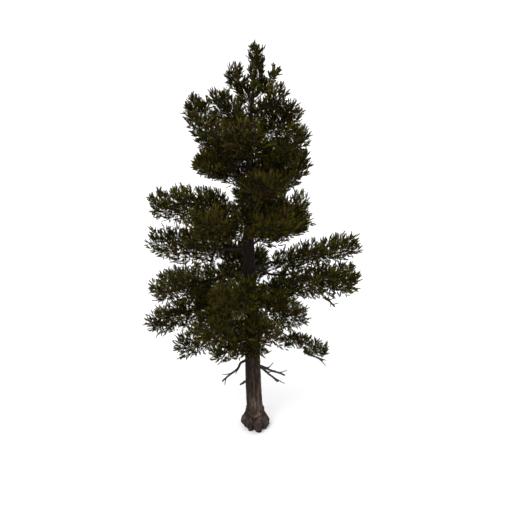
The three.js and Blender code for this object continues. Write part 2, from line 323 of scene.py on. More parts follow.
@dataclass(frozen=True)
class BarkFinish:
    """Plated bark: dark furrows, upright streaks of two colours, and a darker tone above a height.

    The streaks are lightest within a distance of a middle X and dark all over beyond a greater one: painted
    light and shade.
    Below the foot's height the bark has a tone of its own.
    """

    name: str
    furrow: Colour
    plate_dark: Colour
    plate_light: Colour
    upper: Colour
    upper_from: float
    upper_to: float
    scale: float = 9.0
    stretch: float = 0.28
    bump: float = 0.5
    streak_scale: float = 7.0
    # The painted light: the middle X of the lit face, how far it stays fully lit, and where painted shade is
    # complete.
    painted_light_middle: float = 0.0
    painted_shade_edge: float = 60.0
    painted_light_full: float = 50.0
    foot: Colour = (0.0, 0.0, 0.0)
    foot_height: float = -1.0

    def material(self, effects: SharedEffects) -> bpy.types.Material:
        """Builds the bark's material."""
        material, desk, place, shader = start_material(self.name)
        here = place.outputs["Object"]
        bark = add_group(desk, effects.bark, here, Scale=self.scale, Stretch=self.stretch)
        tall = desk.add("ShaderNodeVectorMath", operation="MULTIPLY")
        tall.inputs[1].default_value = (1.0, 1.0, self.stretch)
        desk.join(here, tall.inputs[0])
        drift = add_group(desk, effects.drift, tall.outputs["Vector"], Scale=self.streak_scale)
        plate = desk.between(drift.outputs["Amount"], self.plate_dark, self.plate_light)
        fibre = desk.span(bark.outputs["Fibre"], 0.3, 0.52)
        grained = desk.between(fibre, tuple(0.72 * c for c in self.plate_dark), plate)
        # Painted light and shade: the bark is lightest near a middle X, as on the face a lamp lights, and
        # dark towards the sides.
        axes = desk.add("ShaderNodeSeparateXYZ")
        desk.join(here, axes.inputs[0])
        aside = desk.add("ShaderNodeMath", operation="SUBTRACT")
        aside.inputs[1].default_value = self.painted_light_middle
        desk.join(axes.outputs["X"], aside.inputs[0])
        away = desk.add("ShaderNodeMath", operation="ABSOLUTE")
        desk.join(aside.outputs["Value"], away.inputs[0])
        shaded = desk.span(away.outputs["Value"], self.painted_light_full, self.painted_shade_edge)
        side_shaded = desk.between(shaded, grained, self.plate_dark)
        rise = desk.span(axes.outputs["Z"], self.upper_from, self.upper_to)
        sink = desk.span(axes.outputs["Z"], self.foot_height + 0.12, self.foot_height - 0.12)
        footed = desk.between(drift.outputs["Amount"], tuple(0.14 * c for c in self.foot), self.foot)
        toned = desk.between(sink, desk.between(rise, side_shaded, self.upper), footed)
        part = desk.add("ShaderNodeMath", operation="MULTIPLY_ADD")
        part.inputs[1].default_value = 0.75
        part.inputs[2].default_value = 0.25
        desk.join(bark.outputs["Plates"], part.inputs[0])
        desk.join(desk.between(part.outputs["Value"], self.furrow, toned), shader.inputs["Base Color"])
        rough = desk.add("ShaderNodeMapRange")
        rough.inputs["To Min"].default_value = 0.82
        rough.inputs["To Max"].default_value = 0.98
        desk.join(bark.outputs["Fibre"], rough.inputs["Value"])
        desk.join(rough.outputs["Result"], shader.inputs["Roughness"])
        shader.inputs["Specular IOR Level"].default_value = 0.16
        relief = desk.add("ShaderNodeMath", operation="MULTIPLY_ADD")
        relief.inputs[1].default_value = 0.35
        desk.join(bark.outputs["Fibre"], relief.inputs[0])
        desk.join(bark.outputs["Plates"], relief.inputs[2])
        bump = desk.add("ShaderNodeBump")
        bump.inputs["Strength"].default_value = self.bump
        bump.inputs["Distance"].default_value = 0.012
        desk.join(relief.outputs["Value"], bump.inputs["Height"])
        desk.join(bump.outputs["Normal"], shader.inputs["Normal"])
        return material


@dataclass(frozen=True)
class DriftFinish:
    """A plain finish that drifts slowly between two close tones, as needles and thin twigs do."""

    name: str
    dark: Colour
    light: Colour
    roughness: float
    scale: float = 1.3
    specular: float = 0.04

    def material(self, effects: SharedEffects) -> bpy.types.Material:
        """Builds the drifting material."""
        material, desk, place, shader = start_material(self.name)
        drift = add_group(desk, effects.drift, place.outputs["Object"], Scale=self.scale)
        tone = desk.between(drift.outputs["Amount"], self.dark, self.light)
        desk.join(tone, shader.inputs["Base Color"])
        shader.inputs["Roughness"].default_value = self.roughness
        shader.inputs["Specular IOR Level"].default_value = self.specular
        return material


class NeedleKind(Enum):
    """The needle colours, dealt out by spray: the finish of each and its share of the crown."""

    # SHADE is painted shade: a darker needle dealt out deep inside the crown and at the foot of tufts.
    SHADE = (DriftFinish("needles_shade", (0.020, 0.017, 0.0025), (0.030, 0.025, 0.004), 0.75), 0.24)
    OLIVE = (DriftFinish("needles_olive", (0.062, 0.054, 0.006), (0.084, 0.073, 0.008), 0.7), 0.36)
    MOSS = (DriftFinish("needles_moss", (0.064, 0.070, 0.007), (0.084, 0.090, 0.010), 0.68), 0.2)
    STRAW = (DriftFinish("needles_straw", (0.110, 0.095, 0.020), (0.150, 0.126, 0.028), 0.7), 0.1)
    RUSSET = (DriftFinish("needles_russet", (0.074, 0.047, 0.014), (0.098, 0.062, 0.019), 0.75), 0.1)

    @property
    def finish(self) -> DriftFinish:
        """The kind's finish."""
        return self.value[0]

    @property
    def share(self) -> float:
        """The kind's share of the crown."""
        return self.value[1]


TRUNK_BARK = BarkFinish(
    "trunk_bark",
    furrow=(0.008, 0.005, 0.004),
    plate_dark=(0.028, 0.018, 0.014),
    plate_light=(0.205, 0.141, 0.103),
    upper=(0.016, 0.010, 0.0085),
    upper_from=1.3,
    upper_to=3.4,
    scale=12.0,
    stretch=0.14,
    bump=0.9,
    streak_scale=9.0,
    # Painted light on the trunk's front: lightest near X = -0.05, with painted shade from 0.16 to 0.31 aside.
    painted_light_middle=-0.05,
    painted_shade_edge=0.31,
    painted_light_full=0.16,
    foot=(0.102, 0.069, 0.058),
    foot_height=0.5,
)
BOUGH_BARK = BarkFinish(
    "bough_bark",
    furrow=(0.010, 0.008, 0.007),
    plate_dark=(0.024, 0.018, 0.016),
    plate_light=(0.045, 0.034, 0.030),
    upper=(0.020, 0.015, 0.014),
    upper_from=5.0,
    upper_to=11.0,
    scale=22.0,
    stretch=0.8,
)
DEAD_WOOD = BarkFinish(
    "dead_wood",
    furrow=(0.020, 0.015, 0.013),
    plate_dark=(0.050, 0.038, 0.032),
    plate_light=(0.105, 0.085, 0.074),
    upper=(0.090, 0.075, 0.066),
    upper_from=4.0,
    upper_to=8.0,
    scale=30.0,
    stretch=0.8,
)
TWIG_FINISH = DriftFinish("twig_bark", (0.050, 0.039, 0.031), (0.085, 0.068, 0.055), 0.85, scale=4.0)


# ---- The stem ---------------------------------------------------------------------------------


class StemForm:
    """The trunk's centre line and radius by height, read from its CAD node."""

    def __init__(self, node: bpy.types.Object) -> None:
        """Measures the node's rings of corners."""
        corners = np.unique(np.round(corners_of(node), 4), axis=0)
        levels = np.unique(np.round(corners[:, 2], 3))
        rings = [corners[np.abs(corners[:, 2] - level) < 2e-3] for level in levels]
        self.heights = levels
        self.centres = np.array([(ring.max(0) + ring.min(0)) / 2 for ring in rings])
        spreads = [np.linalg.norm((ring - mid)[:, :2], axis=1) for ring, mid in zip(rings, self.centres)]
        self.radii = np.array([np.median(spread[spread > spread.max() / 2]) for spread in spreads])
        self.top = float(levels[-1])

    def centre(self, height: float) -> Vector:
        """The middle of the trunk at a height."""
        x, y = (np.interp(height, self.heights, self.centres[:, axis]) for axis in (0, 1))
        return Vector((float(x), float(y), height))

    def radius(self, height: float) -> float:
        """The trunk's radius at a height."""
        return float(np.interp(height, self.heights, self.radii))


@dataclass(frozen=True)
class Lobe:
    """A swelling of the root collar: its azimuth, half width and thickness."""

    azimuth: float
    width: float
    thickness: float

    def push(self, angle: np.ndarray) -> np.ndarray:
        """How far the lobe pushes the collar out at some angles."""
        turn = np.angle(np.exp(1j * (angle - math.radians(self.azimuth))))
        return self.thickness * np.exp(-((np.degrees(turn) / self.width) ** 2))


@dataclass
class Trunk:
    """The trunk, from its lobed root collar to the tip of the leader."""

    stem: StemForm
    sides: int = 96
    rings: int = 120
    crowding: float = 1.75
    swell: float = 1.03
    waist_height: float = 1.15
    basal_swell: float = 0.052
    collar_front: float = 0.46
    collar_side: float = 0.64
    collar_spread: float = 0.02
    collar_tuck: float = 0.24
    tuck_height: float = 0.3
    lobes: tuple[Lobe, ...] = (
        Lobe(190.0, 25.0, 0.235),
        Lobe(-10.0, 21.0, 0.2),
        Lobe(282.0, 19.0, 0.33),
        Lobe(238.0, 14.0, 0.25),
        Lobe(322.0, 12.0, 0.17),
        Lobe(52.0, 22.0, 0.21),
        Lobe(98.0, 19.0, 0.16),
        Lobe(138.0, 20.0, 0.2),
    )
    crease: float = 0.085
    edge_waver: float = 0.03
    lump_height: float = 0.95
    plate_depth: float = 0.03
    plate_size: float = 0.07
    plate_height: float = 6.0
    lump_depth: float = 0.1
    lump_size: float = 0.13

    def stem_radius(self, height: float) -> float:
        """The radius without the collar: the CAD's above the waist, and gently swept below it."""
        if height >= self.waist_height:
            return self.swell * self.stem.radius(height)
        sweep = (1.0 - height / self.waist_height) ** 1.6
        return self.swell * self.stem.radius(self.waist_height) + self.basal_swell * sweep

    def ring_heights(self) -> np.ndarray:
        """Heights of the rings, closer together near the ground."""
        return self.stem.top * np.linspace(0.0, 1.0, self.rings) ** self.crowding

    def raise_stem(self) -> bpy.types.Object:
        """Extrudes a disc upwards, ring by ring."""
        deselect_all()
        heights = [float(height) for height in self.ring_heights()]
        foot = self.stem.centre(0.0)
        bpy.ops.mesh.primitive_circle_add(
            vertices=self.sides, radius=self.stem_radius(0.0), fill_type="NGON", location=foot
        )
        piece = bpy.context.object
        bpy.ops.object.mode_set(mode="EDIT")
        for low, high in pairwise(heights):
            middle = self.stem.centre(high)
            step = middle - self.stem.centre(low)
            bpy.ops.mesh.extrude_region_move(TRANSFORM_OT_translate={"value": step})
            share = self.stem_radius(high) / self.stem_radius(low)
            bpy.ops.transform.resize(value=(share, share, 1.0), center_override=middle)
        bpy.ops.mesh.select_all(action="SELECT")
        bpy.ops.mesh.normals_make_consistent(inside=False)
        bpy.ops.object.mode_set(mode="OBJECT")
        settle(piece)
        return piece

    def swell_collar(self, piece: bpy.types.Object) -> None:
        """Pushes the root collar out in lobes, under the rounded lower edge of the stem's bark."""
        corners = corners_of(piece)
        height = corners[:, 2]
        middle = np.array([self.stem.centre(float(z)) for z in height])
        out = corners[:, :2] - middle[:, :2]
        reach = np.maximum(np.linalg.norm(out, axis=1), 1e-6)
        angle = np.arctan2(out[:, 1], out[:, 0])
        front = 0.5 - 0.5 * np.sin(angle)
        edge = self.collar_side + (self.collar_front - self.collar_side) * front**3
        edge = edge + self.edge_waver * np.sin(5 * angle + 0.6)
        share = np.clip(height / edge, 0.0, 1.0)
        bulge = np.clip(1.0 - share**3, 0.0, 1.0) ** 0.7
        push = bulge * (self.collar_spread + sum(lobe.push(angle) for lobe in self.lobes))
        push -= self.crease * np.exp(-(((height - edge - 0.01) / 0.035) ** 2))
        push += 0.6 * self.crease * np.exp(-(((height - edge - 0.1) / 0.06) ** 2))
        low = np.clip(1.0 - height / self.tuck_height, 0.0, 1.0)
        inside = reach / np.array([self.stem_radius(float(z)) for z in height])
        grown = (reach + push * inside) * (1.0 - self.collar_tuck * low**1.6)
        corners[:, :2] = middle[:, :2] + out * (grown / reach)[:, None]
        put_corners(piece, corners)

    def cut_bark(self, piece: bpy.types.Object) -> None:
        """Gives the bark its upright plates and the collar its lumps."""
        finish_with(piece, "SUBSURF", subdivision_type="SIMPLE", levels=1, render_levels=1)
        collar = piece.vertex_groups.new(name="collar")
        plated = piece.vertex_groups.new(name="plated")
        for corner in piece.data.vertices:
            low = max(0.0, min(1.0, 1.0 - corner.co.z / self.lump_height))
            collar.add([corner.index], low, "REPLACE")
            plated.add([corner.index], 1.0 - 0.55 * low, "REPLACE")
        bpy.ops.object.empty_add(location=(0.0, 0.0, 0.0))
        ruler = bpy.context.object
        ruler.scale = (1.0, 1.0, self.plate_height)
        bpy.context.view_layer.update()
        plates = bpy.data.textures.new("plates", "VORONOI")
        plates.noise_scale = self.plate_size
        plates.weight_1 = -1.0
        plates.weight_2 = 1.0
        lumps = bpy.data.textures.new("lumps", "CLOUDS")
        lumps.noise_scale = self.lump_size
        lumps.noise_depth = 3
        finish_with(
            piece, "DISPLACE", texture=plates, texture_coords="OBJECT", texture_coords_object=ruler,
            strength=self.plate_depth, mid_level=0.25, vertex_group="plated",
        )
        finish_with(
            piece, "DISPLACE", texture=lumps, texture_coords="LOCAL", strength=self.lump_depth,
            mid_level=0.5, vertex_group="collar",
        )
        bpy.data.objects.remove(ruler)
        corners = corners_of(piece)
        corners[:, 2] = np.clip(corners[:, 2], 0.0, self.stem.top)
        put_corners(piece, corners)

    def build(self, effects: SharedEffects) -> bpy.types.Object:
        """Models the trunk and dresses it in bark."""
        piece = self.raise_stem()
        piece.name = "trunk_bark"
        self.swell_collar(piece)
        self.cut_bark(piece)
        smooth_piece(piece, 50.0)
        piece.data.materials.append(TRUNK_BARK.material(effects))
        return show_as(piece, "trunk_bark", "trunk")


# ---- Limbs ------------------------------------------------------------------------------------


@dataclass
class Spine:
    """A limb's centre line: points from its foot to its tip, with a radius at each."""

    points: list[Vector]
    radii: list[float]

    @property
    def length(self) -> float:
        """The length of the centre line."""
        return sum((b - a).length for a, b in pairwise(self.points))

    def at(self, share: float) -> tuple[Vector, Vector, float]:
        """The point, direction and radius at a share of the way along."""
        place = max(0.0, min(1.0, share)) * (len(self.points) - 1)
        index = min(int(place), len(self.points) - 2)
        part = place - index
        low, high = self.points[index], self.points[index + 1]
        radius = self.radii[index] * (1.0 - part) + self.radii[index + 1] * part
        return low.lerp(high, part), (high - low).normalized(), radius


def skin_limb(name: str, spines: list[Spine], relief: float) -> bpy.types.Object:
    """Models a limb, with any forks, as a chain of extruded points under a skin.

    Args:
        name: The piece's name.
        spines: The limb's own centre line, then those of its forks. A fork starts on a point that is there.
        relief: How deep the bark's relief is.

    Returns:
        The finished limb.
    """
    deselect_all()
    bpy.ops.mesh.primitive_plane_add(size=0.01, location=spines[0].points[0])
    piece = bpy.context.object
    piece.name = name
    bpy.ops.object.mode_set(mode="EDIT")
    bpy.ops.mesh.merge(type="CENTER")
    bpy.ops.object.mode_set(mode="OBJECT")
    settle(piece)
    radii = [spines[0].radii[0]]
    places = [spines[0].points[0].copy()]
    for spine in spines:
        start = min(range(len(places)), key=lambda i: (places[i] - spine.points[0]).length)
        for corner in piece.data.vertices:
            corner.select = corner.index == start
        bpy.ops.object.mode_set(mode="EDIT")
        at = places[start]
        for point, radius in zip(spine.points[1:], spine.radii[1:]):
            bpy.ops.mesh.extrude_vertices_move(TRANSFORM_OT_translate={"value": point - at})
            places.append(point.copy())
            radii.append(radius)
            at = point
        bpy.ops.object.mode_set(mode="OBJECT")
    pick(piece)
    skin = piece.modifiers.new("Skin", "SKIN")
    skin.use_smooth_shade = True
    skin.branch_smoothing = 0.4
    for corner, radius in zip(piece.data.skin_vertices[0].data, radii):
        corner.radius = (radius, radius)
    bpy.ops.object.modifier_apply(modifier=skin.name)
    finish_with(piece, "SUBSURF", levels=2, render_levels=2)
    knots = bpy.data.textures.get("knots") or bpy.data.textures.new("knots", "CLOUDS")
    knots.noise_scale = 0.06
    finish_with(piece, "DISPLACE", texture=knots, texture_coords="LOCAL", strength=relief, mid_level=0.5)
    return piece


def bend(points: list[Vector], rng: np.random.Generator, amount: float) -> list[Vector]:
    """Moves all but the ends of a line of points a little aside, as wood grows."""
    span = (points[-1] - points[0]).length
    bent = [points[0]]
    for point in points[1:-1]:
        bent.append(point + Vector(rng.normal(0.0, amount * span, 3)))
    return bent + [points[-1]]


class FoliageMass:
    """One CAD mass of foliage: what is inside it, and the limb that runs through it."""

    def __init__(self, name: str, stem: StemForm, rng: np.random.Generator) -> None:
        """Reads the mass's solid and finds its limb.

        Args:
            name: The mass's name, without the word foliage.
            stem: The trunk that the limb leaves.
            rng: The seeded source of chance.
        """
        self.name = name
        self.node = f"foliage_{name}"
        self.stem = stem
        self.rng = rng
        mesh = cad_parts[self.node].data
        self.tree = BVHTree.FromPolygons([v.co for v in mesh.vertices], [p.vertices for p in mesh.polygons])
        low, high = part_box(self.node)
        self.low = np.array(low)
        self.high = np.array(high)
        self.cloud = self.sample(420)
        self.scale = min(1.0, max(self.depth(Vector(point)) for point in self.cloud) / 0.42)
        self.far = 0.0 if name == "crown_top" else max(self.reach(Vector(point)) for point in self.cloud)
        self.spine = self.find_spine()

    def holds(self, point: Vector) -> bool:
        """Whether a point lies inside the solid: a ray upwards then meets it an odd number of times."""
        crossings = 0
        start = point
        while True:
            hit = self.tree.ray_cast(start, UP)[0]
            if hit is None:
                return crossings % 2 == 1
            crossings += 1
            start = hit + UP * 1e-4

    def depth(self, point: Vector) -> float:
        """How far a point is from the surface: more than 0 inside and less than 0 outside."""
        distance = self.tree.find_nearest(point)[3]
        return distance if self.holds(point) else -distance

    def reach(self, point: Vector) -> float:
        """How far a point is from the middle of the trunk."""
        return (point.xy - self.stem.centre(point.z).xy).length

    def way_out(self, point: Vector) -> Vector:
        """The direction from a point inside to the nearest place on the surface."""
        return (self.tree.find_nearest(point)[0] - point).normalized()

    def sample(self, count: int) -> np.ndarray:
        """Draws points evenly from the inside of the solid."""
        kept: list[np.ndarray] = []
        while len(kept) < count:
            for point in self.rng.uniform(self.low, self.high, (count, 3)):
                if self.holds(Vector(point)):
                    kept.append(point)
        return np.array(kept[:count])

    def bough_ends(self, outward: np.ndarray, axis: np.ndarray) -> list[tuple[float, float]]:
        """How far out and how high the bare bough's two ends are, if the CAD has one."""
        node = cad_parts.get(f"bough_{self.name}")
        if node is None:
            return []
        corners = corners_of(node)
        reach = (corners[:, :2] - axis[:2]) @ outward
        ends = (reach < reach.min() + 0.08, reach > reach.max() - 0.08)
        return [(float(reach[end].mean()), float(corners[end, 2].mean())) for end in ends]

    def find_spine(self) -> Spine:
        """Fits the limb's centre line through the middle of the mass, back to the trunk."""
        middle = self.cloud.mean(0)
        if self.name == "crown_top":
            heights = np.linspace(self.low[2] - 0.1, self.high[2] - 0.14, 9)
            top = self.stem.top
            points = [self.stem.centre(min(float(z), top)) + UP * max(0.0, float(z) - top) for z in heights]
            return Spine(points, [float(r) for r in np.linspace(0.03, 0.006, 9)])
        axis = np.array(self.stem.centre(float(middle[2])))
        outward = middle[:2] - axis[:2]
        outward /= np.linalg.norm(outward)
        side = np.array((-outward[1], outward[0]))
        reach = (self.cloud[:, :2] - axis[:2]) @ outward
        order = np.array_split(np.argsort(reach), 7)
        outs = [float(reach[part].mean()) for part in order]
        rises = [float(self.cloud[part, 2].mean()) for part in order]
        strays = [float(((self.cloud[part, :2] - axis[:2]) @ side).mean()) for part in order]
        ends = self.bough_ends(outward, axis)
        weights = [1.0] * len(outs) + [3.0] * len(ends)
        rise = np.polyfit(outs + [e[0] for e in ends], rises + [e[1] for e in ends], 2, w=weights)
        stray = np.polyfit([0.0] + outs, [0.0] + strays, 2, w=[6.0] + [1.0] * len(outs))
        foot_height = float(np.clip(np.polyval(rise, 0.0), self.low[2] - 1.6, self.high[2]))
        first = 0.6 * self.stem.radius(foot_height)
        last = float(np.quantile(reach, 0.985)) - 0.05
        points = []
        for out in np.linspace(first, last, 12):
            place = axis[:2] + outward * out + side * np.polyval(stray, out)
            points.append(Vector((place[0], place[1], float(np.polyval(rise, out)))))
        points[0] = self.stem.centre(points[0].z) + (points[0] - self.stem.centre(points[0].z)) * 0.9
        length = (points[-1] - points[0]).length
        foot_radius = LIMB_RADIUS_LEAST + LIMB_RADIUS_PER_LENGTH * length
        radii = [float(foot_radius * (1.0 - LIMB_TAPER * share)) for share in np.linspace(0.0, 1.0, 12)]
        return Spine(bend(points, self.rng, LIMB_CROOK), radii)


# ---- Foliage ----------------------------------------------------------------------------------


class TubeBundle:
    """Many thin tapering tubes in one mesh."""

    def __init__(self, sides: int = 3) -> None:
        """Starts an empty bundle of tubes with a number of sides."""
        self.sides = sides
        self.corners: list[np.ndarray] = []
        self.faces: list[np.ndarray] = []
        self.count = 0

    def add(self, points: list[Vector], radii: list[float]) -> None:
        """Adds a tube along some points."""
        line = np.array(points)
        ahead = line[-1] - line[0]
        ahead /= np.linalg.norm(ahead) + 1e-9
        spare = np.array((0.0, 0.0, 1.0)) if abs(ahead[2]) < 0.9 else np.array((1.0, 0.0, 0.0))
        across = np.cross(ahead, spare)
        across /= np.linalg.norm(across)
        over = np.cross(across, ahead)
        turn = np.arange(self.sides) * 2.0 * math.pi / self.sides
        ring = np.cos(turn)[:, None] * across + np.sin(turn)[:, None] * over
        corners = (line[:, None, :] + ring[None] * np.array(radii)[:, None, None]).reshape(-1, 3)
        index = np.arange(self.sides)
        after = (index + 1) % self.sides
        faces = []
        for level in range(len(points) - 1):
            low = self.count + level * self.sides
            high = low + self.sides
            faces.append(np.stack([low + index, high + after, low + after], axis=1))
            faces.append(np.stack([low + index, high + index, high + after], axis=1))
        self.corners.append(corners)
        self.faces.append(np.concatenate(faces))
        self.count += len(corners)

    def piece(self, name: str) -> bpy.types.Object:
        """Makes the bundle one object."""
        return mesh_piece(name, np.concatenate(self.corners), np.concatenate(self.faces))


@dataclass
class Tuft:
    """A tuft: pairs of needles set spirally along the end of a shoot, which points along +Z."""

    pairs: int = 16
    shoot: float = 0.15
    length: float = 0.115
    width: float = 0.0165
    spread_foot: float = 0.52
    spread_tip: float = 0.12
    splay: float = 0.1
    # The needles at a tuft's foot are darker: aged russet in some sprays, painted shade in the tuft's core in
    # the rest.
    old_and_shaded_share: float = 0.3

    def triangles(self, rng: np.random.Generator) -> np.ndarray:
        """Lays out one tuft's needles, from the foot of the shoot to its tip.

        Args:
            rng: The seeded source of chance.

        Returns:
            An array of triangles, three corners each.
        """
        needles = []
        for index in range(self.pairs):
            share = (index + 0.5) / self.pairs
            turn = index * GOLDEN_ANGLE + rng.normal(0.0, 0.25)
            spread = self.spread_foot + (self.spread_tip - self.spread_foot) * share**0.8
            spread += rng.normal(0.0, 0.07)
            base = np.array((0.0, 0.0, self.shoot * share**0.9))
            radial = np.array((math.cos(turn), math.sin(turn), 0.0))
            around = np.array((-math.sin(turn), math.cos(turn), 0.0))
            ahead = radial * math.sin(spread) + np.array((0.0, 0.0, math.cos(spread)))
            for hand in (-1.0, 1.0):
                way = ahead + around * hand * self.splay
                way /= np.linalg.norm(way)
                flat = np.cross(way, radial * rng.uniform(0.3, 1.0) + around * rng.uniform(-1.0, 1.0))
                flat *= 0.5 * self.width / np.linalg.norm(flat)
                tip = base + way * self.length * rng.uniform(0.85, 1.15)
                needles.append((base - flat, base + flat, tip))
        return np.array(needles)


@dataclass
class Shoot:
    """Where one tuft goes: its foot, direction and size, the kind of its new needles, and the kind at its
    foot: russet for aged needles, shade for painted shade.
    """

    foot: Vector
    way: Vector
    size: float
    new: NeedleKind
    old_and_shaded: NeedleKind


# How far apart the sprays of some masses stand, as a multiple of the usual spacing.
OPENNESS = {
    "crown_top": 1.06,
    "tier9_left": 1.04,
    "tier9_right": 1.02,
    "tier8_left": 0.96,
    "tier8_right": 0.93,
    "tier7_left": 0.93,
    "tier7_back": 1.1,
    "tier6_left": 1.22,
    "tier5_back": 1.05,
    "tier5_left": 1.03,
    "tier4_left": 1.16,
    "tier4_back_left": 1.12,
    "tier2_left": 1.04,
    "tier1_left": 1.08,
    "tier1_right": 1.06,
    "tier1_right_front": 1.3,
    "tier1_front_left": 1.2,
}


@dataclass
class SprayRule:
    """How a spray of shoots branches."""

    shoots: int = 15
    half_length: float = 0.19
    lift: float = 0.36
    shoot_lift: float = 0.3
    spread_foot: float = 1.05
    spread_tip: float = 0.3
    shoot_foot: float = 0.15
    shoot_tip: float = 0.06
    set_back: float = 0.15
    drop: float = 0.06
    tuft_reach: float = 0.18
    proud: float = 0.08
    branch_wander: float = 0.14
    shoot_wander: float = 0.12
    twig_past_foot: float = 0.09
    mixed_share: float = 0.3
    russet_share: float = 0.35


@dataclass
class Tier:
    """The foliage of one tier: side branches, sprays and needles in each of its masses."""

    name: str
    masses: list[FoliageMass]
    rng: np.random.Generator
    spacing: float = 0.305
    least_scale: float = 0.68
    margin: float = 0.03
    bare_core: float = 0.23
    rule: SprayRule = field(default_factory=SprayRule)
    shoots: list[Shoot] = field(default_factory=list)
    twigs: TubeBundle = field(default_factory=TubeBundle)

    def spray_places(self, mass: FoliageMass) -> list[Vector]:
        """Picks well-spaced places for sprays inside a mass, clear of the bare middle of the crown.

        Args:
            mass: The mass to fill.

        Returns:
            The middles of its sprays.
        """
        spacing = self.spacing * max(mass.scale, self.least_scale) * OPENNESS.get(mass.name, 1.0)
        volume = float(np.prod(mass.high - mass.low))
        tries = int(9 * volume / spacing**3) + 60
        kept = np.array([mass.spine.at(0.97)[0]])
        for point in self.rng.uniform(mass.low, mass.high, (tries, 3)):
            apart = (kept - point) * (1.0, 1.0, 1.2)
            if (apart**2).sum(1).min() < spacing**2:
                continue
            place = Vector(point)
            if mass.reach(place) < self.bare_core * mass.far:
                continue
            if mass.depth(place) < self.margin * mass.scale:
                continue
            kept = np.vstack([kept, point])
        return [Vector(point) for point in kept]

    def kind_for(self, mass: FoliageMass, place: Vector) -> NeedleKind:
        """Deals out a kind of needle: darker deep inside the crown, as painted shade, and lighter on its
        outside.
        """
        # Painted shade: the shade kind grows likelier near the trunk, where the crown's inside is shaded.
        bare = math.exp(-((mass.reach(place) / 1.1) ** 2))
        kinds = list(NeedleKind)
        shares = np.array([kind.share for kind in kinds])
        shares[0] *= 1.0 + 1.6 * bare
        shares[2:] *= 1.0 - 0.5 * bare
        return kinds[int(self.rng.choice(len(kinds), p=shares / shares.sum()))]

    def grow_branch(self, mass: FoliageMass, middle: Vector) -> tuple[Vector, Vector]:
        """Draws the side branch that carries a spray, from the mass's limb.

        Args:
            mass: The mass that the spray is in.
            middle: The middle of the spray's needles.

        Returns:
            The middle of the spray's wood, and the direction in which it points.
        """
        spine = mass.spine
        foot, tip = spine.points[0], spine.points[-1]
        along = tip - foot
        share = (middle - foot).dot(along) / along.length_squared
        aside = (middle - spine.at(share)[0]).length
        share = max(0.04, share - (0.85 * aside + 0.12) / along.length)
        start, run, radius = spine.at(min(share, 0.97))
        way = (middle - start).normalized() * 0.5 + mass.way_out(middle) * 0.4 + UP * self.rule.lift
        way = (way + Vector(self.rng.normal(0.0, self.rule.branch_wander, 3))).normalized()
        place = middle - way * self.rule.set_back * mass.scale - UP * self.rule.drop
        half = self.rule.half_length * mass.scale
        end = place + way * half
        base = place - way * half
        pull = (base - start).length
        knee = start + run * 0.4 * pull
        neck = base - way * 0.3 * pull
        line = []
        for t in (0.0, 0.25, 0.5, 0.75, 1.0):
            u = 1.0 - t
            line.append(start * u**3 + knee * 3 * u * u * t + neck * 3 * u * t * t + base * t**3)
        thick = min(0.6 * radius, 0.006 + 0.006 * pull)
        radii = [float(r) for r in np.linspace(thick, 0.005, len(line))]
        self.twigs.add(line + [end], radii + [0.003])
        return place, way

    def grow_spray(self, mass: FoliageMass, middle: Vector) -> None:
        """Grows one side branch with its spray of shoots."""
        rule = self.rule
        place, way = self.grow_branch(mass, middle)
        kind = self.kind_for(mass, middle)
        # The foot of each tuft gets russet, for aged needles, in some sprays, and the shade kind, painted
        # shade in the tuft's core, in the rest.
        old_and_shaded = NeedleKind.RUSSET if self.rng.uniform() < rule.russet_share else NeedleKind.SHADE
        side = way.orthogonal().normalized()
        over = way.cross(side)
        turn = self.rng.uniform(0.0, 2.0 * math.pi)
        for index in range(rule.shoots):
            share = index / (rule.shoots - 1)
            turn += GOLDEN_ANGLE
            root = place + way * rule.half_length * mass.scale * (2.0 * share - 1.0)
            spread = rule.spread_foot + (rule.spread_tip - rule.spread_foot) * share
            round_way = side * math.cos(turn) + over * math.sin(turn)
            aim = way * math.cos(spread) + round_way * math.sin(spread) + UP * rule.shoot_lift
            aim = (aim + Vector(self.rng.normal(0.0, rule.shoot_wander, 3))).normalized()
            long = (rule.shoot_foot + (rule.shoot_tip - rule.shoot_foot) * share) * self.rng.uniform(0.6, 1.3)
            foot = root + aim * long * mass.scale
            if mass.depth(foot + aim * rule.tuft_reach) < -rule.proud:
                continue
            self.twigs.add([root, foot + aim * rule.twig_past_foot], [0.0045, 0.002])
            new = kind if self.rng.uniform() > rule.mixed_share else self.kind_for(mass, place)
            self.shoots.append(Shoot(foot, aim, float(self.rng.uniform(0.85, 1.2)), new, old_and_shaded))

    def needle_piece(
        self, tufts: list[np.ndarray], old_and_shaded_share: float, materials: dict[NeedleKind, bpy.types.Material]
    ) -> bpy.types.Object:
        """Joins the tier's needles in one piece, with a material for each kind.

        Args:
            tufts: The tufts to pick from.
            old_and_shaded_share: The share of a tuft's needles, from its foot, that take the foot kind:
                russet for aged needles, the shade kind for painted shade in the tuft's core.
            materials: The material of each kind of needle.

        Returns:
            The piece.
        """
        groups: list[np.ndarray] = []
        indices: list[np.ndarray] = []
        kinds = list(NeedleKind)
        picks = self.rng.integers(0, len(tufts), len(self.shoots))
        spins = self.rng.uniform(0.0, 2.0 * math.pi, len(self.shoots))
        for number, tuft in enumerate(tufts):
            chosen = np.flatnonzero(picks == number)
            if not len(chosen):
                continue
            turns = []
            for i in chosen:
                shoot = self.shoots[i]
                spin = Quaternion((0.0, 0.0, 1.0), spins[i])
                turns.append(np.array((shoot.way.to_track_quat("Z", "Y") @ spin).to_matrix()) * shoot.size)
            feet = np.array([self.shoots[i].foot for i in chosen])
            flat = tuft.reshape(-1, 3)
            groups.append((np.einsum("nij,vj->nvi", np.array(turns), flat) + feet[:, None, :]).reshape(-1, 3))
            new = np.array([kinds.index(self.shoots[i].new) for i in chosen])
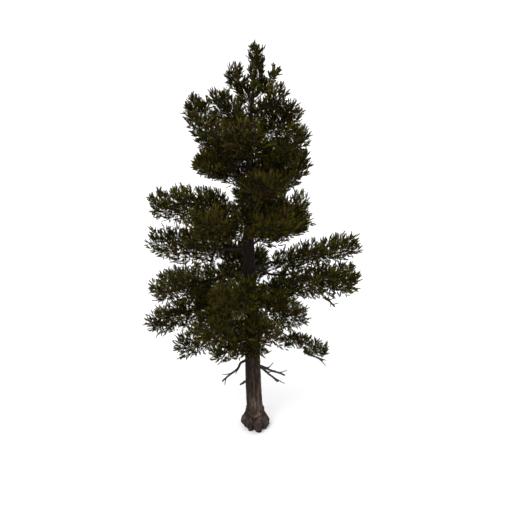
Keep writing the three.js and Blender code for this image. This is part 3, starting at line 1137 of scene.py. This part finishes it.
            # The needles nearest each tuft's foot take its foot kind: aged russet in some sprays, painted
            # shade in the rest.
            old_and_shaded = np.array([kinds.index(self.shoots[i].old_and_shaded) for i in chosen])
            is_old_and_shaded = np.arange(len(tuft)) < old_and_shaded_share * len(tuft)
            indices.append(np.where(is_old_and_shaded[None, :], old_and_shaded[:, None], new[:, None]).astype(np.int32).ravel())
        corners = np.concatenate(groups)
        faces = np.arange(len(corners)).reshape(-1, 3)
        piece = mesh_piece(f"needles_{self.name}", corners, faces)
        for kind in kinds:
            piece.data.materials.append(materials[kind])
        piece.data.polygons.foreach_set("material_index", np.concatenate(indices))
        piece.data.update()
        return piece

    def build(
        self,
        tufts: list[np.ndarray],
        old_and_shaded_share: float,
        needles: dict[NeedleKind, bpy.types.Material],
        twig_bark: bpy.types.Material,
    ) -> None:
        """Grows the tier's foliage.

        Args:
            tufts: The tufts to pick from.
            old_and_shaded_share: The share of a tuft's needles that take the foot kind: russet for aged
                needles, shade for painted shade.
            needles: The material of each kind of needle.
            twig_bark: The twigs' material.
        """
        for mass in self.masses:
            for middle in self.spray_places(mass):
                self.grow_spray(mass, middle)
        piece = self.needle_piece(tufts, old_and_shaded_share, needles)
        show_as(piece, "needles", *(mass.node for mass in self.masses))
        twigs = self.twigs.piece(f"twigs_{self.name}")
        twigs.data.materials.append(twig_bark)
        show_as(twigs, "bough_bark")


# ---- Dead limbs -------------------------------------------------------------------------------


@dataclass
class DeadLimb:
    """A bare dead limb: its CAD node's prongs, with small forks and snapped twigs."""

    node: str
    stem: StemForm
    rng: np.random.Generator
    forks: int = 3
    fork_length: float = 0.36
    thickness: float = 0.058
    tip_radius: float = 0.032
    fork_radius: float = 0.024
    twig_radius: float = 0.012
    fork_least: float = 0.5
    crook: float = 0.018
    relief: float = 0.004
    sag_share: float = 0.6

    def prong_tips(self) -> tuple[Vector, list[Vector]]:
        """Finds the limb's foot and the tips of its prongs.

        Returns:
            The foot, and one tip, or two where the lowest and the furthest are well apart.
        """
        corners = corners_of(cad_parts[self.node])
        middle = np.array([self.stem.centre(float(z)) for z in corners[:, 2]])
        out = np.linalg.norm((corners - middle)[:, :2], axis=1)
        near = corners[out < out.min() + 0.05].mean(0)
        away = np.linalg.norm(corners - near, axis=1)
        far = corners[away > away.max() - 0.03].mean(0)
        low = corners[corners[:, 2] < corners[:, 2].min() + 0.02].mean(0)
        tips = [Vector(far)]
        if np.linalg.norm(far - low) > 0.25:
            tips.append(Vector(low))
        return Vector(near), tips

    def prong_lines(self, foot: Vector, tips: list[Vector]) -> list[list[Vector]]:
        """Follows each prong of the CAD node from the foot to its tip, in one even arc."""
        corners = corners_of(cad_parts[self.node])
        start = np.array(foot)
        runs = [np.array(tip) - start for tip in tips]
        shares = [(corners - start) @ run / (run @ run) for run in runs]
        strays = [corners - start - share[:, None] * run for share, run in zip(shares, runs)]
        asides = [np.linalg.norm(stray, axis=1) for stray in strays]
        nearest = np.argmin(np.array(asides), axis=0)
        lines = []
        for number, tip in enumerate(tips):
            ring = corners[(nearest == number) & (np.abs(shares[number] - self.sag_share) < 0.12)]
            sag = Vector(ring.mean(0)) - foot.lerp(tip, self.sag_share) if len(ring) else Vector()
            fullest = self.sag_share * (1.0 - self.sag_share)
            steps = (0.0, 0.2, 0.4, 0.6, 0.8, 1.0)
            lines.append([foot.lerp(tip, step) + sag * (step * (1.0 - step) / fullest) for step in steps])
        return lines

    def spine_along(self, line: list[Vector], radius: float, end: float) -> Spine:
        """A tapering, crooked limb along a line, between two radii."""
        radii = [float(r) for r in np.linspace(radius, end, len(line))]
        return Spine(bend(line, self.rng, self.crook), radii)

    def build(self, material: bpy.types.Material) -> bpy.types.Object:
        """Models the limb and dresses it."""
        foot, tips = self.prong_tips()
        inward = (self.stem.centre(foot.z) - foot).normalized() * 0.05
        lines = self.prong_lines(foot, tips)
        prongs = [[foot + inward, *line[1:]] for line in lines]
        spines = [self.spine_along(prong, self.thickness, self.tip_radius) for prong in prongs]
        for spine in list(spines):
            for number in range(self.forks if spine.length > self.fork_least else 0):
                index = min(len(spine.points) - 2, 2 + number)
                start = spine.points[index]
                ahead = (spine.points[index + 1] - start).normalized()
                way = (ahead + Vector(self.rng.normal(0.0, 0.5, 3)) + UP * 0.25).normalized()
                long = self.fork_length * float(self.rng.uniform(0.5, 1.1))
                fork = [start + way * long * share for share in (0.0, 0.35, 0.7, 1.0)]
                spines.append(self.spine_along(fork, self.fork_radius, self.twig_radius))
        piece = skin_limb(f"wood_{self.node}", spines, self.relief)
        piece.data.materials.append(material)
        smooth_piece(piece, 60.0)
        return show_as(piece, "dead_wood", self.node)


# ---- The tree ---------------------------------------------------------------------------------


@dataclass
class PineTree:
    """The whole tree, built sub-assembly by sub-assembly."""

    seed: int = 11
    tuft_shapes: int = 8

    def masses_by_tier(self, stem: StemForm, rng: np.random.Generator) -> dict[str, list[FoliageMass]]:
        """Groups the CAD's foliage masses by the tier in their names."""
        tiers: dict[str, list[FoliageMass]] = {}
        for node in sorted(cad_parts):
            if node.startswith("foliage_"):
                name = node.removeprefix("foliage_")
                tier = name.split("_")[0]
                tiers.setdefault(tier, []).append(FoliageMass(name, stem, rng))
        return tiers

    def build_bough(self, mass: FoliageMass, material: bpy.types.Material) -> None:
        """Models the limb of one mass, in place of the CAD's bare stretch of it."""
        piece = skin_limb(f"limb_{mass.name}", [mass.spine], LIMB_RELIEF)
        piece.data.materials.append(material)
        smooth_piece(piece, 60.0)
        node = f"bough_{mass.name}"
        show_as(piece, "bough_bark", *([node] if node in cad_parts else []))

    def build(self) -> None:
        """Builds every piece of the tree."""
        rng = np.random.default_rng(self.seed)
        effects = SharedEffects()
        stem = StemForm(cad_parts["trunk"])
        Trunk(stem).build(effects)
        tiers = self.masses_by_tier(stem, rng)
        bough_bark = BOUGH_BARK.material(effects)
        for masses in tiers.values():
            for mass in masses:
                self.build_bough(mass, bough_bark)
        dead_wood = DEAD_WOOD.material(effects)
        for node in sorted(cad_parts):
            if node.startswith("dead_"):
                DeadLimb(node, stem, rng).build(dead_wood)
        tuft = Tuft()
        tufts = [tuft.triangles(rng) for _ in range(self.tuft_shapes)]
        needles = {kind: kind.finish.material(effects) for kind in NeedleKind}
        twig_bark = TWIG_FINISH.material(effects)
        for name, masses in tiers.items():
            Tier(name, masses, rng).build(tufts, tuft.old_and_shaded_share, needles, twig_bark)


# ---- The studio -------------------------------------------------------------------------------


@dataclass
class Studio:
    """A plain pale floor, soft light from above and the camera."""

    camera_place: tuple[float, float, float] = (-0.05, -23.34, 15.37)
    camera_fall: float = 20.0
    lens: float = 50.0
    floor_size: float = 12000.0
    floor_tone: Colour = (0.92, 0.92, 0.92)
    sky_strength: float = 1.3
    ground_tone: Colour = (0.2, 0.2, 0.2)
    sun_strength: float = 1.3
    sun_turn: tuple[float, float, float] = (38.0, 0.0, -32.0)
    sun_softness: float = 26.0

    def place_camera(self) -> None:
        """Sets the camera up, looking down on the tree."""
        camera = bpy.data.cameras.new("camera")
        camera.lens = self.lens
        camera.clip_end = self.floor_size
        holder = bpy.data.objects.new("camera", camera)
        holder.location = self.camera_place
        holder.rotation_euler = (math.radians(90.0 - self.camera_fall), 0.0, 0.0)
        bpy.context.scene.collection.objects.link(holder)
        bpy.context.scene.camera = holder

    def lay_floor(self) -> None:
        """Lays the pale floor, which throws no light back up into the crown."""
        deselect_all()
        bpy.ops.mesh.primitive_plane_add(size=self.floor_size, location=(0.0, 0.0, 0.0))
        floor = bpy.context.object
        floor.name = "floor"
        floor.visible_diffuse = False
        material, _, _, shader = start_material("floor_paint")
        shader.inputs["Base Color"].default_value = (*self.floor_tone, 1.0)
        shader.inputs["Roughness"].default_value = 0.9
        floor.data.materials.append(material)

    def hang_sky(self) -> None:
        """Makes a white sky over a dim ground."""
        world = bpy.data.worlds.new("sky")
        world.use_nodes = True
        desk = ShaderDesk(world.node_tree)
        backdrop = world.node_tree.nodes["Background"]
        backdrop.inputs["Strength"].default_value = self.sky_strength
        place = desk.add("ShaderNodeTexCoord")
        height = desk.add("ShaderNodeSeparateXYZ")
        desk.join(place.outputs["Generated"], height.inputs[0])
        above = desk.span(height.outputs["Z"], -0.12, -0.02)
        desk.join(desk.between(above, self.ground_tone, (1.0, 1.0, 1.0)), backdrop.inputs["Color"])
        bpy.context.scene.world = world

    def light(self) -> None:
        """Lights the tree with one broad, soft lamp."""
        lamp = bpy.data.lights.new("sun", "SUN")
        lamp.energy = self.sun_strength
        lamp.angle = math.radians(self.sun_softness)
        holder = bpy.data.objects.new("sun", lamp)
        holder.rotation_euler = tuple(math.radians(turn) for turn in self.sun_turn)
        bpy.context.scene.collection.objects.link(holder)
        bpy.context.scene.view_settings.view_transform = "Standard"

    def build(self) -> None:
        """Builds the studio."""
        self.place_camera()
        self.lay_floor()
        self.hang_sky()
        self.light()


def main() -> None:
    """Builds the studio and the tree."""
    logging.basicConfig(level=logging.INFO, format="%(message)s")
    Studio().build()
    PineTree().build()


if __name__ == "__main__":
    main()
